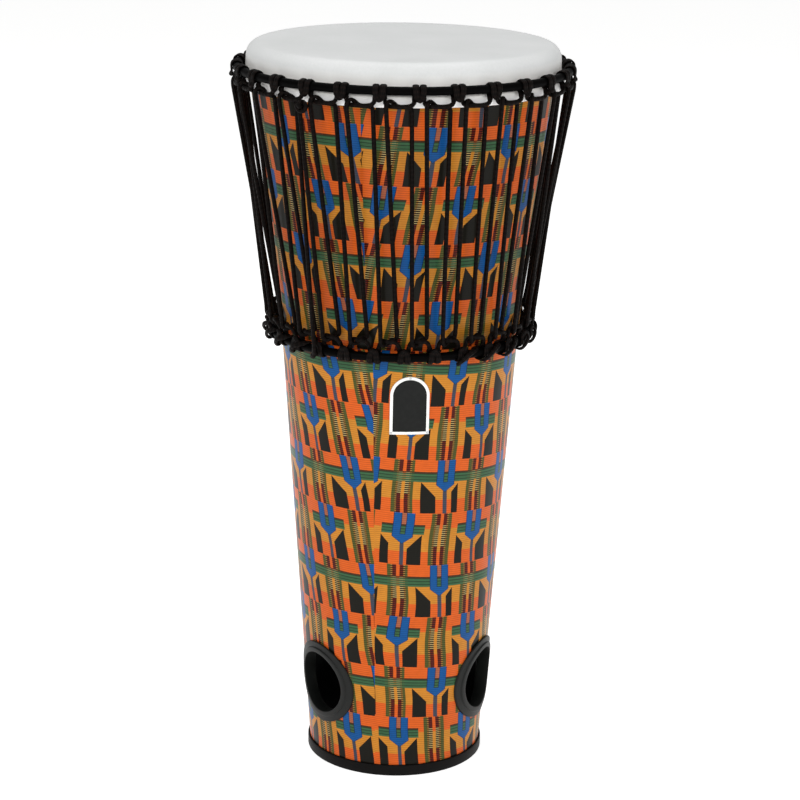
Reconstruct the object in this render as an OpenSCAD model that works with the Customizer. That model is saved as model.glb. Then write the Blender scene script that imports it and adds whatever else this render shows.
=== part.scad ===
// Rope-tuned ashiko drum: a tapered shell in a printed wrap, a film head pulled over its edge
// by a crown ring, a bottom ring, two cradle ropes and one long tuning rope laced between them.
// Millimetres, +Z up, origin on the floor under the drum's axis, badge towards -Y.

/* [Shell] */
// Height of the playing face above the floor
drum_h = 720; // [640:1:800]
// Outside diameter of the head at its edge
head_d = 301; // [285:1:330]
// Outside diameter of the bare shell where its taper changes
waist_d = 236.5; // [225:0.5:245]
// Height where the taper changes
waist_z = 475; // [465:1:500]
// Height over which one taper blends into the other
waist_blend = 60; // [30:1:80]
// Outside diameter of the bare shell, carried down to the floor
base_d = 170.5; // [150:0.5:180]
// Wall of the shell
shell_wall = 6; // [4.5:0.1:8]
// Rounding of the shell's top edge, under the head
edge_round = 12; // [8:0.5:14]
// Thickness of the printed wrap
wrap_t = 0.4; // [0.3:0.05:1]

/* [Base ring] */
// Height of the rubber base ring
base_ring_h = 11; // [8:0.5:16]
// Wall of the rubber base ring
base_ring_wall = 3; // [2:0.1:4]
// Rubber under the shell's edge
base_ring_floor = 3; // [2:0.1:5]

/* [Sound ports] */
// Number of sound ports
port_count = 3; // [3:1:3]
// Clear bore of a port
port_d = 62; // [50:1:70]
// Height of the port centres
port_z = 87; // [75:1:110]
// Turn of the ports towards the drum's right, in degrees
port_turn = 1.5; // [-5:0.5:5]
// Wall of a grommet's neck
port_neck = 2.6; // [1.5:0.1:4]
// Width of a grommet's flange outside its neck
port_flange_w = 8.3; // [5:0.1:10]
// Thickness of a grommet's outer flange
port_flange_t = 2.4; // [1.5:0.1:4]
// How far the lip round the bore stands above the flange
port_lip_h = 1.4; // [0.5:0.1:2]

/* [Head] */
// Thickness of the head film
film_t = 0.5; // [0.3:0.05:0.8]
// Diameter of the steel flesh hoop
hoop_d = 3; // [2.4:0.1:3.2]

/* [Rings and rope] */
// Diameter of the rope
rope_d = 4.2; // [3.6:0.1:4.6]
// Diameter of the steel rod of the crown and bottom rings
ring_d = 8.2; // [7:0.1:9]
// Number of cradle loops on each ring
loop_count = 28; // [26:1:29]
// Drop of the crown ring below the playing face
crown_drop = 23.2; // [22:0.1:30]
// Height of the bottom ring
bottom_ring_z = 441; // [420:1:450]
// Drop of the crown loops below their ring
crown_loop_h = 13.8; // [13.6:0.1:18]
// Rise of the bottom loops above their ring
bottom_loop_h = 16.5; // [16:0.1:20]
// How far the crown loops stand out past their ring
crown_loop_out = 0.6; // [0.4:0.1:3]
// How far the bottom loops stand out past their ring
bottom_loop_out = 2.2; // [2:0.1:5]
// Half width of a crown loop, as a share of the pitch
crown_share = 0.32; // [0.28:0.01:0.33]
// Half width of a bottom loop, as a share of the pitch
bottom_share = 0.26; // [0.24:0.01:0.27]
// Turn of the bottom loops against the crown's, as a share of the pitch
bottom_shift = 0.24; // [0:0.01:0.3]
// Turns of spare rope round the bottom ring
tail_turns = 23; // [12:1:23]

/* [Badge] */
// Width of the badge plate
badge_w = 37.5; // [30:0.5:45]
// Height of the badge plate
badge_h = 57.5; // [45:0.5:65]
// Height of the badge's centre
badge_z = 391; // [380:1:395]
// Thickness of the badge plate
badge_t = 0.9; // [0.6:0.1:1.5]
// Width of the badge's raised border
badge_border = 3; // [2:0.1:4]
// Height of the raised border above the plate
badge_border_t = 0.5; // [0.3:0.1:1]
// Diameter of a badge pin
pin_d = 1.6; // [1:0.1:2]

/* [Hidden] */
$fn = 96;

// Clearances
rope_gap = 0.1;      // rope to the rod that it turns round
turn_gap = 0.2;      // rope turns to the film or the wrap behind them
hoop_gap = 0.05;     // flesh hoop in the rolled film
film_gap = 0.2;      // film collar to the shell's edge
seat_gap = 0.1;      // rubber and badge to the shell and the wrap
pin_gap = 0.05;      // badge pins in their holes
rope_end_gap = 0.6;  // between the two ends of a cradle rope

rope_r = rope_d / 2;
ring_r = ring_d / 2;
film_r = head_d / 2;
rim_r = film_r - film_t - film_gap;
rim_z = drum_h - film_t;
round_z = rim_z - edge_round;
base_r = base_d / 2;
waist_r = waist_d / 2;
lower_slope = (waist_r - base_r) / waist_z;
upper_slope = (rim_r - waist_r) / (round_z - waist_z);
pitch = 360 / loop_count;

// Radius of the bare shell's outside at a height, with a parabola between the two tapers
function shell_r(z) =
    let (u = z - waist_z + waist_blend)
    z < waist_z - waist_blend ? base_r + lower_slope * z
    : z > waist_z + waist_blend ? waist_r + upper_slope * (z - waist_z)
    : base_r + lower_slope * z + (upper_slope - lower_slope) * u * u / (4 * waist_blend);
function wrap_r(z) = shell_r(z) + wrap_t;

// The rope's turn round a ring: six corners whose flats just clear the rod
turn_flat = ring_r + rope_r + rope_gap;
turn_r = turn_flat / cos(30);
turn_z = turn_r / 2;

// Rings: each leaves room for its rope turns between the rod and what is behind it
crown_z = drum_h - crown_drop;
crown_r = film_r + turn_gap + rope_r + turn_flat;
bottom_r = wrap_r(bottom_ring_z + turn_z) + turn_gap + rope_r + turn_flat;
crown_line_z = crown_z - crown_loop_h;
bottom_line_z = bottom_ring_z + bottom_loop_h;
crown_line_r = crown_r + crown_loop_out;
bottom_line_r = bottom_r + bottom_loop_out;

// Flesh hoop, rolled into the film under the rope turns of the crown ring
roll_in = hoop_d / 2 + hoop_gap;
roll_out = roll_in + film_t;
hoop_r = film_r + roll_in;
hoop_z = crown_z - turn_z - rope_r - roll_out - 0.6;

wrap_bottom_z = base_ring_h + seat_gap;
wrap_top_z = crown_z + turn_r;

hole_r = port_d / 2 + port_neck + seat_gap;
port_inside_t = 2.2;      // grommet's flange inside the shell
port_inside_w = 4;        // its width outside the neck
port_lip_w = 5;           // width of the lip round the bore
pin_head_r = 1.5 * pin_d / 2;
pin_head_h = 0.7;
pin_depth = 3.5;          // how far a pin goes into the shell
pin_inset = badge_border / 2;

// Point at an azimuth from the front, a radius and a height
function at(az, r, z) = [r * sin(az), -r * cos(az), z];
function unit(v) = v / norm(v);

// Unit directions at a path's point: the step into it and the step out of it
function step_in(p, i) = unit(p[max(i, 1)] - p[max(i, 1) - 1]);
function step_out(p, i) = unit(p[min(i, len(p) - 2) + 1] - p[min(i, len(p) - 2)]);
function across(t) = unit(cross(t, abs(t[2]) < 0.9 ? [0, 0, 1] : [1, 0, 0]));
function carried(n, t) = unit(n - (n * t) * t);

// One ring of a tube, stretched along the bend so that the tube keeps its thickness there
function tube_ring(c, t, n, d0, d1, r, sides) =
    let (b = cross(t, n),
         bend = d1 - d0,
         m = norm(bend) > 0.001 ? unit(bend) : n,
         stretch = min(2 / norm(d0 + d1), 1.5) - 1)
    [for (j = [0:sides - 1])
        let (v = r * (cos(360 * j / sides) * n + sin(360 * j / sides) * b))
        c + v + (v * m) * stretch * m];

// Open tube of triangles along a list of points
module rope_tube(path, d, sides = 6) {
    count = len(path);
    tangents = [for (i = [0:count - 1]) unit(step_in(path, i) + step_out(path, i))];
    normals = [for (i = 0, n = across(tangents[0]);
                    i < count;
                    n = i + 1 < count ? carried(n, tangents[i + 1]) : n, i = i + 1) n];
    points = [for (i = [0:count - 1])
        each tube_ring(path[i], tangents[i], normals[i], step_in(path, i), step_out(path, i),
                       d / 2, sides)];
    last = (count - 1) * sides;
    walls = [for (i = [0:count - 2], j = [0:sides - 1])
        let (a = i * sides + j, b = i * sides + (j + 1) % sides, c = b + sides, e = a + sides)
        each [[a, e, c], [a, c, b]]];
    start_cap = [for (j = [1:sides - 2]) [0, j, j + 1]];
    end_cap = [for (j = [1:sides - 2]) [last, last + j + 1, last + j]];
    polyhedron(points, concat(walls, start_cap, end_cap));
}

// Least gap of a rope to itself, measured between path points at least 3 diameters apart along it;
// its two end faces, which look at each other, are left out
function path_lengths(p) = [for (i = 0, s = 0; i < len(p);
    s = i + 1 < len(p) ? s + norm(p[i + 1] - p[i]) : s, i = i + 1) s];
function least_gap(p) =
    let (s = path_lengths(p))
    min([for (i = [0:len(p) - 2], j = [i + 1:len(p) - 1])
        if (s[j] - s[i] > 3 * rope_d && j - i < len(p) - 2) norm(p[i] - p[j])]) - rope_d;

// Cradle rope.
// Half a cow hitch on a ring as [along, out, down], from the bar across its front to the loop's corner
hitch_half_w = 3.4;
bar_half_w = 2.6;
bar_out = rope_d + 1.3;
bar_drop = turn_r + 0.9;
front_out = turn_flat + 0.6;
loop_side = rope_d * 0.58;   // loop's line to either side of the lacing's surface
loop_cross = rope_d * 1.3;   // how far past its left corner a loop has changed sides
function half_hitch() = [
    [bar_half_w, bar_out, bar_drop],
    [hitch_half_w, front_out, -turn_z],
    [hitch_half_w, 0, -turn_r],
    [hitch_half_w, -turn_flat, -turn_z],
    [hitch_half_w, -turn_flat, turn_z],
    [hitch_half_w, 0, turn_r]
];
function backwards(list) = [for (i = [len(list) - 1:-1:0]) list[i]];
function degrees_along(length, r) = length * 180 / (PI * r);
function hitch_point(az, k, side, r, z, down) =
    at(az + side * degrees_along(k[0], r), r + k[1], z - down * k[2]);

// One hitch with the corners of the loops beside it; down is 1 for the crown and -1 for the bottom ring
function hitch(az, r, z, line_r, line_z, share, down) =
    let (corner = (0.5 - share) * pitch)
    concat(
        [at(az - corner, line_r + loop_side, line_z)],
        [for (k = backwards(half_hitch())) hitch_point(az, k, -1, r, z, down)],
        [for (k = half_hitch()) hitch_point(az, k, 1, r, z, down)],
        [at(az + corner, line_r - loop_side, line_z),
         at(az + corner + degrees_along(loop_cross, line_r), line_r + 0.95 * loop_side, line_z)]);

// The whole cradle, from the middle of the loop behind first_az round to the same loop again
function cradle_path(first_az, r, z, line_r, line_z, share, down) =
    let (middle = first_az - pitch / 2, nudge = degrees_along(rope_end_gap / 2, line_r))
    concat(
        [at(middle + nudge, line_r + loop_side, line_z)],
        [for (k = [0:loop_count - 1])
            each hitch(first_az + k * pitch, r, z, line_r, line_z, share, down)],
        [at(middle - nudge, line_r + loop_side, line_z)]);

crown_cradle = cradle_path(180, crown_r, crown_z, crown_line_r, crown_line_z, crown_share, 1);
bottom_cradle = cradle_path(180 + (bottom_shift - 0.5) * pitch, bottom_r, bottom_ring_z,
                            bottom_line_r, bottom_line_z, bottom_share, -1);

// Tuning rope.
// Its bight over a loop's line, [along, out, down] in rope diameters from the loop's left and right corners
bight_left = [
    [0, 0.8, 0.8],
    [0, 0.8, -0.59],
    [0.68, 0.01, -1.2],
    [1.58, -0.56, -0.59],
    [2.3, -0.62, 0.2]
];
bight_right = [
    [-0.36, -0.62, 0.26],
    [0, -0.58, 0.8]
];
function bight_side(az, shape, line_r, line_z, down) =
    [for (b = shape)
        at(az + degrees_along(b[0] * rope_d, line_r), line_r + b[1] * rope_d, line_z - down * b[2] * rope_d)];
function bight(az, line_r, line_z, share, down) = concat(
    bight_side(az - share * pitch, bight_left, line_r, line_z, down),
    bight_side(az + share * pitch, bight_right, line_r, line_z, down));

// The lacing starts in front of a crown hitch at the front left, and comes back to the loop beside it
start_loop = -4;
start_az = (start_loop + 1.03) * pitch;
end_az = (start_loop + 0.57) * pitch;

// Stopper knot at the rope's start: an overhand knot, its end pushed through a turn and a quarter of coil.
// [along, down, out] from the knot's middle
knot_r = crown_line_r + 2.1 * rope_d;
knot_z = crown_line_z - rope_d;
knot_turn = 450;
knot_step = 30;
coil_r = 1.12 * rope_d;
coil_half = coil_r * knot_turn / 720;
function coil_point(t) = [-coil_r * sin(t), -coil_r * cos(t), coil_half * (1 - 2 * t / knot_turn)];
function knot_place(p) = at(start_az + degrees_along(p[0], knot_r), knot_r + p[2], knot_z - p[1]);
knot_path = [for (p = concat(
    [[0, 0, -coil_half - 0.9 * rope_d],
     [0, 0, coil_half + 0.2 * rope_d],
     [0, -0.55 * coil_r, coil_half + 0.6 * rope_d]],
    [for (t = [0:knot_step:knot_turn]) coil_point(t)],
    [[-coil_r, 1.6 * rope_d, -coil_half - 0.1 * rope_d]])) knot_place(p)];

// Strands: down to a bottom loop, up to the next crown loop
lacing_path = [for (k = [start_loop + 1:start_loop + loop_count])
    each concat(
        bight((k + bottom_shift) * pitch, bottom_line_r, bottom_line_z, bottom_share, -1),
        k < start_loop + loop_count
            ? bight((k + 0.5) * pitch, crown_line_r, crown_line_z, crown_share, 1) : [])];

// The last bight turns straight down beside the first strand, to the front of a hitch on the bottom ring
tail_az = (start_loop + 0.5 + bottom_shift) * pitch;
over_out = front_out + rope_d + 0.3;
last_bight = concat(
    bight_side((start_loop + 0.5 + loop_count - crown_share) * pitch,
               [for (i = [0:3]) bight_left[i]], crown_line_r, crown_line_z, 1),
    [at((start_loop + 0.5) * pitch, crown_line_r - 1.1 * rope_d, crown_line_z),
     at(end_az, crown_line_r - 1.1 * rope_d, crown_line_z - 1.4 * rope_d),
     at(tail_az + 0.04 * pitch, bottom_r + over_out, bottom_ring_z + turn_z + 1.5 * rope_d)]);

// One turn of the spare rope round the bottom ring, from the front of a hitch under the ring, up behind it,
// out through a loop and across to the front of the next: [azimuth as a share of the pitch, out, up]
wind_shape = [
    [0, over_out, -0.2 * rope_d],
    [-0.12, over_out - 0.8, -turn_z - 0.75 * rope_d],
    [-0.22, 0.8 * turn_flat, -turn_r - 0.4 * rope_d],
    [-0.31, 0, -turn_r - 0.2],
    [-0.35, -turn_flat, -turn_z],
    [-0.39, -turn_flat, turn_z],
    [-0.44, 0, turn_r + 0.2],
    [-0.54, turn_flat + 0.6, turn_r + 0.9],
    [-0.72, over_out - 0.9, turn_z + 0.7 * rope_d]
];
function tail_point(turn, w) =
    at(tail_az + (w[0] - turn) * pitch, bottom_r + w[1], bottom_ring_z + w[2]);
tail_path = concat(
    [for (turn = [0:tail_turns - 1], w = wind_shape) tail_point(turn, w)],
    [for (i = [0:2]) tail_point(tail_turns, wind_shape[i])]);

rope_path = concat(knot_path, lacing_path, last_bight, tail_path);

// Solids.
module shell_profile() {
    low = base_ring_floor;
    heights = concat(
        [low, waist_z - waist_blend],
        [for (i = [-2:2]) waist_z + i * waist_blend / 3],
        [waist_z + waist_blend, round_z]);
    polygon(concat(
        [for (z = heights) [shell_r(z), z]],
        [for (z = backwards(heights)) [shell_r(z) - shell_wall, z]]));
    difference() {
        translate([rim_r - edge_round, round_z]) square(edge_round);
        translate([rim_r - edge_round, round_z]) difference() {
            square(2 * edge_round);
            circle(r = edge_round);
        }
    }
}

// Straight drill along the axis of a port at an azimuth
module port_drill(az, r) {
    rotate([0, 0, az]) translate([0, 0, port_z]) rotate([90, 0, 0])
        cylinder(r = r, h = 2 * waist_r);
}
function port_az(i) = port_turn + 180 / port_count + i * 360 / port_count;

// Places of the badge's pins on its face: across and up from the badge's centre
function pin_places() = [
    [0, badge_h / 2 - pin_inset],
    [-badge_w / 2 + pin_inset, -badge_h / 2 + pin_inset],
    [badge_w / 2 - pin_inset, -badge_h / 2 + pin_inset]
];
// Surface of the wrap in front of a point of the badge
function badge_face(p) = sqrt(pow(wrap_r(badge_z + p[1]), 2) - p[0] * p[0]);

module pin_drills() {
    for (p = pin_places())
        translate([p[0], -badge_face(p) + pin_depth + wrap_t, badge_z + p[1]]) rotate([90, 0, 0])
            cylinder(d = pin_d + 2 * pin_gap, h = pin_depth + 5, $fn = 32);
}

module shell() {
    color("#1a1a1a") difference() {
        rotate_extrude() shell_profile();
        for (i = [0:port_count - 1]) port_drill(port_az(i), hole_r);
        pin_drills();
    }
}

module print_wrap() {
    heights = concat(
        [wrap_bottom_z, waist_z - waist_blend],
        [for (i = [-2:2]) waist_z + i * waist_blend / 3],
        [waist_z + waist_blend, wrap_top_z]);
    color("#e0702a") difference() {
        rotate_extrude() polygon(concat(
            [for (z = heights) [wrap_r(z), z]],
            [for (z = backwards(heights)) [shell_r(z), z]]));
        for (i = [0:port_count - 1]) port_drill(port_az(i), hole_r);
        pin_drills();
    }
}

module base_ring() {
    outer = shell_r(0) + base_ring_wall + seat_gap;
    groove_out_top = shell_r(base_ring_h) + seat_gap;
    groove_out_low = shell_r(base_ring_floor) + seat_gap;
    inner_h = 0.8 * base_ring_h;
    groove_in_top = shell_r(inner_h) - shell_wall - seat_gap;
    groove_in_low = shell_r(base_ring_floor) - shell_wall - seat_gap;
    inner = groove_in_low - base_ring_wall;
    edge = base_ring_wall / 3;
    color("#161616") rotate_extrude() polygon([
        [inner + edge, 0], [outer - edge, 0], [outer, edge],
        [outer, base_ring_h - edge], [outer - edge, base_ring_h], [groove_out_top, base_ring_h],
        [groove_out_low, base_ring_floor], [groove_in_low, base_ring_floor],
        [groove_in_top, inner_h], [inner, inner_h], [inner, edge]
    ]);
}

// Layer of the lower shell between two radial offsets from its bare outside
module shell_layer(inside, outside, low, high) {
    rotate_extrude() polygon([
        [shell_r(low) + inside, low], [shell_r(low) + outside, low],
        [shell_r(high) + outside, high], [shell_r(high) + inside, high]
    ]);
}

module port_grommet(i) {
    neck_r = port_d / 2 + port_neck;
    flange_r = neck_r + port_flange_w;
    low = port_z - flange_r - 2;
    high = port_z + flange_r + 2;
    flange_low = wrap_t + seat_gap;
    flange_top = flange_low + port_flange_t;
    inside_top = -shell_wall - seat_gap;
    inside_low = inside_top - port_inside_t;
    color("#202422") difference() {
        union() {
            intersection() {
                shell_layer(flange_low, flange_top, low, high);
                port_drill(port_az(i), flange_r);
            }
            intersection() {
                shell_layer(inside_low, flange_top + port_lip_h, low, high);
                port_drill(port_az(i), neck_r);
            }
            intersection() {
                shell_layer(flange_low, flange_top + port_lip_h, low, high);
                port_drill(port_az(i), port_d / 2 + port_lip_w);
            }
            intersection() {
                shell_layer(inside_low, inside_top, low, high);
                port_drill(port_az(i), neck_r + port_inside_w);
            }
        }
        port_drill(port_az(i), port_d / 2);
    }
}

// Points of an arc between two angles
function arc(centre, r, from, to, steps) =
    [for (i = [0:steps]) let (a = from + (to - from) * i / steps) centre + r * [cos(a), sin(a)]];

// Film: playing face, rounded edge, collar, and a hem rolled round the flesh hoop
module head_film() {
    turn_out = film_r - rim_r + edge_round;
    edge = [film_r - turn_out, drum_h - turn_out];
    hem = [hoop_r, hoop_z];
    color("#f0f0ee") rotate_extrude() polygon(concat(
        [[0, drum_h]],
        arc(edge, turn_out, 90, 0, 8),
        arc(hem, roll_in, 180, 450, 18),
        arc(hem, roll_out, 450, 180, 18),
        arc(edge, turn_out - film_t, 0, 90, 8),
        [[0, drum_h - film_t]]));
}

module rod_ring(r, z, d) {
    rotate_extrude() translate([r, z]) circle(d = d, $fn = 48);
}
module flesh_hoop() {
    color("#8c8f93") rod_ring(hoop_r, hoop_z, hoop_d);
}
module crown_ring() {
    color("#141414") rod_ring(crown_r, crown_z, ring_d);
}
module bottom_ring() {
    color("#141414") rod_ring(bottom_r, bottom_ring_z, ring_d);
}

module crown_cradle_rope() {
    color("#1c1a18") rope_tube(crown_cradle, rope_d);
}
module bottom_cradle_rope() {
    color("#1c1a18") rope_tube(bottom_cradle, rope_d);
}
module tuning_rope() {
    color("#1c1a18") rope_tube(rope_path, rope_d);
}

// Outline of the badge: a plate with a half-round top, drawn in by an inset
module arch(inset) {
    half = badge_w / 2 - inset;
    top = badge_h / 2 - badge_w / 2;
    translate([0, top]) circle(r = half);
    translate([-half, -badge_h / 2 + inset]) square([2 * half, top + badge_h / 2 - inset]);
}
module arch_bar(inset) {
    translate([0, 0, badge_z]) rotate([90, 0, 0]) linear_extrude(2 * waist_r) arch(inset);
}
module badge_plate() {
    seat = wrap_t + seat_gap;
    low = badge_z - badge_h;
    high = badge_z + badge_h / 2 + 2;
    color("#20221f") difference() {
        union() {
            intersection() {
                shell_layer(seat, seat + badge_t, low, high);
                arch_bar(0);
            }
            difference() {
                intersection() {
                    shell_layer(seat, seat + badge_t + badge_border_t, low, high);
                    arch_bar(0);
                }
                arch_bar(badge_border);
            }
        }
        pin_drills();
    }
}
module badge_pins() {
    stand = seat_gap + badge_t + badge_border_t;
    color("#c9cccf") for (p = pin_places())
        translate([p[0], -badge_face(p), badge_z + p[1]]) rotate([90, 0, 0]) {
            translate([0, 0, -pin_depth]) cylinder(d = pin_d, h = pin_depth + stand + 0.2, $fn = 32);
            translate([0, 0, stand + 0.1]) cylinder(r1 = pin_head_r, r2 = pin_d / 3, h = pin_head_h, $fn = 32);
        }
}

union() {
    echo(str("crown cradle, least gap to itself: ", least_gap(crown_cradle), " mm"));
    echo(str("bottom cradle, least gap to itself: ", least_gap(bottom_cradle), " mm"));
    echo(str("tuning rope, least gap to itself: ", least_gap(rope_path), " mm"));
}

shell();
print_wrap();
base_ring();
port_grommet(0);  // right_port_grommet
port_grommet(1);  // back_port_grommet
port_grommet(2);  // left_port_grommet
head_film();
flesh_hoop();
crown_ring();
crown_cradle_rope();
bottom_ring();
bottom_cradle_rope();
tuning_rope();
badge_plate();
badge_pins();
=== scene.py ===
import math

import bpy
from mathutils import Matrix, Vector


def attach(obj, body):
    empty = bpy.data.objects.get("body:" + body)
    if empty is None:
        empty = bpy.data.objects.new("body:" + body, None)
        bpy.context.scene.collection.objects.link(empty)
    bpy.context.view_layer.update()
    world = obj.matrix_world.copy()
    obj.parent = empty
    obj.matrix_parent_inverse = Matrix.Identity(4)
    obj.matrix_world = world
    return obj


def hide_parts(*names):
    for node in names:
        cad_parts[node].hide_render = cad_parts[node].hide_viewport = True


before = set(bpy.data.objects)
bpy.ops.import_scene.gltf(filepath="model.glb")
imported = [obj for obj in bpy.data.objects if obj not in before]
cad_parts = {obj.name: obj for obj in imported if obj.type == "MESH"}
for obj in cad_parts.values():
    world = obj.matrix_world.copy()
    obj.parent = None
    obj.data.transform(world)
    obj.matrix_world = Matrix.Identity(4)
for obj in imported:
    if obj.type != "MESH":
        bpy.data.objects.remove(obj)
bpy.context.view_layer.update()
print("frame loaded:", len(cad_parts), "nodes")

# The drum's own shape in metres, as in the frame
drum = {
    "height": 0.720,
    "headRadius": 0.1505,
    "waistRadius": 0.11825,
    "waistZ": 0.475,
    "waistBlend": 0.060,
    "baseRadius": 0.08525,
    "shellWall": 0.006,
    "edgeRound": 0.012,
    "wrapThickness": 0.0004,
    "filmThickness": 0.0005,
    "filmGap": 0.0002,
    "seatGap": 0.0001,
}
rimRadius = drum["headRadius"] - drum["filmThickness"] - drum["filmGap"]
roundZ = drum["height"] - drum["filmThickness"] - drum["edgeRound"]
lowerSlope = (drum["waistRadius"] - drum["baseRadius"]) / drum["waistZ"]
upperSlope = (rimRadius - drum["waistRadius"]) / (roundZ - drum["waistZ"])


def shellRadius(z):
    # bare shell's outside, with a parabola between the two tapers
    blend = drum["waistBlend"]
    low = drum["baseRadius"] + lowerSlope * z
    rise = z - drum["waistZ"] + blend
    if rise < 0:
        return low
    if rise > 2 * blend:
        return drum["waistRadius"] + upperSlope * (z - drum["waistZ"])
    return low + (upperSlope - lowerSlope) * rise * rise / (4 * blend)


def at(azimuth, radius, z):
    # azimuth in degrees from the front, towards +X
    turn = math.radians(azimuth)
    return Vector((radius * math.sin(turn), -radius * math.cos(turn), z))


def degreesAlong(length, radius):
    return math.degrees(length / radius)


# Camera
view = {
    "distance": 2.400,   # from the drum's axis
    "height": 1.0457,
    "azimuth": -5.25,
    "pitch": 15.844,
    "roll": 0.814,
    "lens": 113.255,
    "sensor": 36,
    "shift": 0.0014,
}


def makeCamera():
    bpy.ops.object.camera_add()
    camera = bpy.context.object
    camera.name = "frontCamera"
    camera.data.lens = view["lens"]
    camera.data.sensor_width = view["sensor"]
    camera.data.shift_x = view["shift"]
    place = Matrix.Translation(at(view["azimuth"], view["distance"], view["height"]))
    turn = Matrix.Rotation(math.radians(view["azimuth"]), 4, "Z")
    tilt = Matrix.Rotation(math.radians(90 - view["pitch"]), 4, "X")
    lean = Matrix.Rotation(math.radians(view["roll"]), 4, "Z")
    camera.matrix_world = place @ turn @ tilt @ lean
    bpy.context.scene.camera = camera


makeCamera()
print("camera set")


# Small tools for the modelling below
mergeGap = 0.000002   # points nearer than this count as one


def clearSelection():
    if bpy.context.object and bpy.context.object.mode != "OBJECT":
        bpy.ops.object.mode_set(mode="OBJECT")
    bpy.ops.object.select_all(action="DESELECT")


def pick(piece):
    clearSelection()
    piece.select_set(True)
    bpy.context.view_layer.objects.active = piece


def applyAll(piece):
    pick(piece)
    for modifier in list(piece.modifiers):
        bpy.ops.object.modifier_apply(modifier=modifier.name)


def arcPoints(centreR, centreZ, radius, start, stop, steps):
    turns = [math.radians(start + (stop - start) * i / steps) for i in range(steps + 1)]
    return [(centreR + radius * math.cos(a), centreZ + radius * math.sin(a)) for a in turns]


def spinOutline(name, outline, steps, firstAzimuth=90.0, closed=True):
    # outline is a list of (radius, height): a plane merged to one point is drawn along it and spun
    clearSelection()
    bpy.ops.mesh.primitive_plane_add(size=0.01)
    piece = bpy.context.object
    piece.name = name
    piece.data.name = name
    bpy.ops.object.mode_set(mode="EDIT")
    bpy.ops.mesh.merge(type="CENTER")
    bpy.ops.transform.translate(value=(outline[0][0], 0, outline[0][1]))
    path = outline + outline[:1] if closed else outline
    for before, point in zip(path, path[1:]):
        step = (point[0] - before[0], 0, point[1] - before[1])
        bpy.ops.mesh.extrude_vertices_move(TRANSFORM_OT_translate={"value": step})
    bpy.ops.mesh.select_all(action="SELECT")
    bpy.ops.mesh.spin(steps=steps, angle=math.tau, center=(0, 0, 0), axis=(0, 0, 1))
    bpy.ops.mesh.select_all(action="SELECT")
    bpy.ops.mesh.remove_doubles(threshold=mergeGap)
    bpy.ops.mesh.normals_make_consistent(inside=False)
    bpy.ops.object.mode_set(mode="OBJECT")
    piece.rotation_euler.z = math.radians(firstAzimuth - 90)
    bpy.ops.object.transform_apply(location=True, rotation=True, scale=True)
    return piece


def skinLoops(name, vertices, count):
    # vertices are closed loops of count points, joined in a row and capped at both ends
    loops = len(vertices) // count
    faces = []
    for i in range(loops - 1):
        for j in range(count):
            k = (j + 1) % count
            faces.append((i * count + j, i * count + k, (i + 1) * count + k, (i + 1) * count + j))
    faces.append(tuple(range(count - 1, -1, -1)))
    faces.append(tuple(range((loops - 1) * count, loops * count)))
    mesh = bpy.data.meshes.new(name)
    mesh.from_pydata(vertices, [], faces)
    piece = bpy.data.objects.new(name, mesh)
    bpy.context.scene.collection.objects.link(piece)
    return piece


def copyPiece(piece, name):
    other = piece.copy()
    other.data = piece.data.copy()
    other.name = name
    bpy.context.scene.collection.objects.link(other)
    return other


def finishPiece(piece, slot, nodes, *materials, smooth=40):
    for material in materials:
        piece.data.materials.append(material)
    pick(piece)
    bpy.ops.object.shade_smooth_by_angle(angle=math.radians(smooth))
    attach(piece, "root")
    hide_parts(*nodes)
    print("made", piece.name, len(piece.data.polygons), "faces")


# Small tools for the materials
def hexColour(text):
    parts = [int(text[i:i + 2], 16) / 255 for i in (1, 3, 5)]
    return tuple([p / 12.92 if p <= 0.04045 else ((p + 0.055) / 1.055) ** 2.4 for p in parts] + [1.0])


def startMaterial(name):
    material = bpy.data.materials.new(name)
    material.use_nodes = True
    return material, material.node_tree, material.node_tree.nodes["Principled BSDF"]


def feed(tree, socket, value):
    if hasattr(value, "is_output"):
        tree.links.new(value, socket)
    else:
        socket.default_value = value


def calc(tree, operation, *values):
    node = tree.nodes.new("ShaderNodeMath")
    node.operation = operation
    for socket, value in zip(node.inputs, values):
        feed(tree, socket, value)
    return node.outputs[0]


def product(tree, first, *others):
    for other in others:
        first = calc(tree, "MULTIPLY", first, other)
    return first


def between(tree, value, low, high):
    return product(tree, calc(tree, "GREATER_THAN", value, low), calc(tree, "LESS_THAN", value, high))


def mixColours(tree, factor, first, second, blend="MIX"):
    node = tree.nodes.new("ShaderNodeMix")
    node.data_type = "RGBA"
    node.blend_type = blend
    feed(tree, node.inputs[0], factor)
    feed(tree, node.inputs[6], first)
    feed(tree, node.inputs[7], second)
    return node.outputs[2]


def stepRamp(tree, value, steps, interpolation="CONSTANT"):
    # steps is a list of (start, colour)
    node = tree.nodes.new("ShaderNodeValToRGB")
    node.color_ramp.interpolation = interpolation
    elements = node.color_ramp.elements
    while len(elements) > 1:
        elements.remove(elements[-1])
    elements[0].position = steps[0][0]
    elements[0].color = steps[0][1]
    for start, colour in steps[1:]:
        elements.new(start).color = colour
    feed(tree, node.inputs[0], value)
    return node.outputs[0]


def toneRamp(tree, value, dark, light):
    return stepRamp(tree, value, [(0.3, hexColour(dark)), (0.7, hexColour(light))], "LINEAR")


def objectPoint(tree):
    return tree.nodes.new("ShaderNodeTexCoord").outputs["Object"]


def noiseValue(tree, vector, scale, detail):
    node = tree.nodes.new("ShaderNodeTexNoise")
    feed(tree, node.inputs["Vector"], vector)
    node.inputs["Scale"].default_value = scale
    node.inputs["Detail"].default_value = detail
    return node.outputs[0]


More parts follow.
